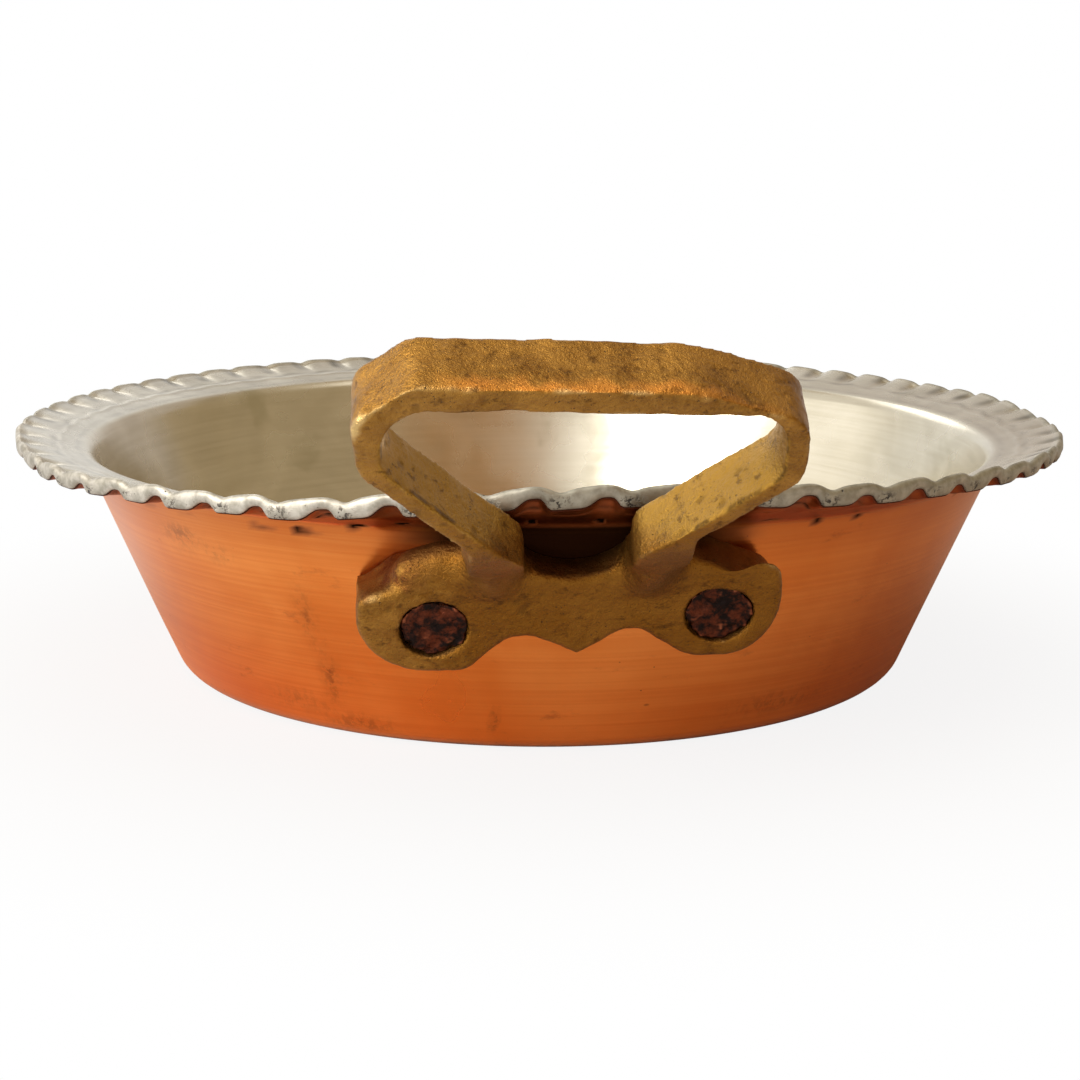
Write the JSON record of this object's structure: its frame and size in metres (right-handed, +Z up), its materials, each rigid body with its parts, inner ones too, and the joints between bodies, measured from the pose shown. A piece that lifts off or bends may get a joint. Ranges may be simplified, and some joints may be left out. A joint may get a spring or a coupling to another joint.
{
  "type": "copper frying pan",
  "caption": "Round tinned copper pan with leaning walls, a fluted flange and a riveted cast brass loop handle.",
  "frame": {"origin": "the middle of the flat base's underside, on the surface that the pan stands on", "axes": "+Z up out of the bowl, -Y towards the handle, +X to the right for someone who faces the handle"},
  "size_m": [0.24, 0.281, 0.092],
  "materials": {
    "copper": "spun and wiped copper, with a soft shine",
    "tin": "hand-wiped tin, satin and mottled",
    "cast_brass": "sand-cast brass, worn smooth on its edges",
    "rivet_copper": "hammered and darkened copper"
  },
  "bodies": {
    "root": {"pan_body": "copper", "tin_lining": "tin", "handle": "cast_brass", "rivet_left": "rivet_copper", "rivet_right": "rivet_copper"}
  },
  "joints": []
}
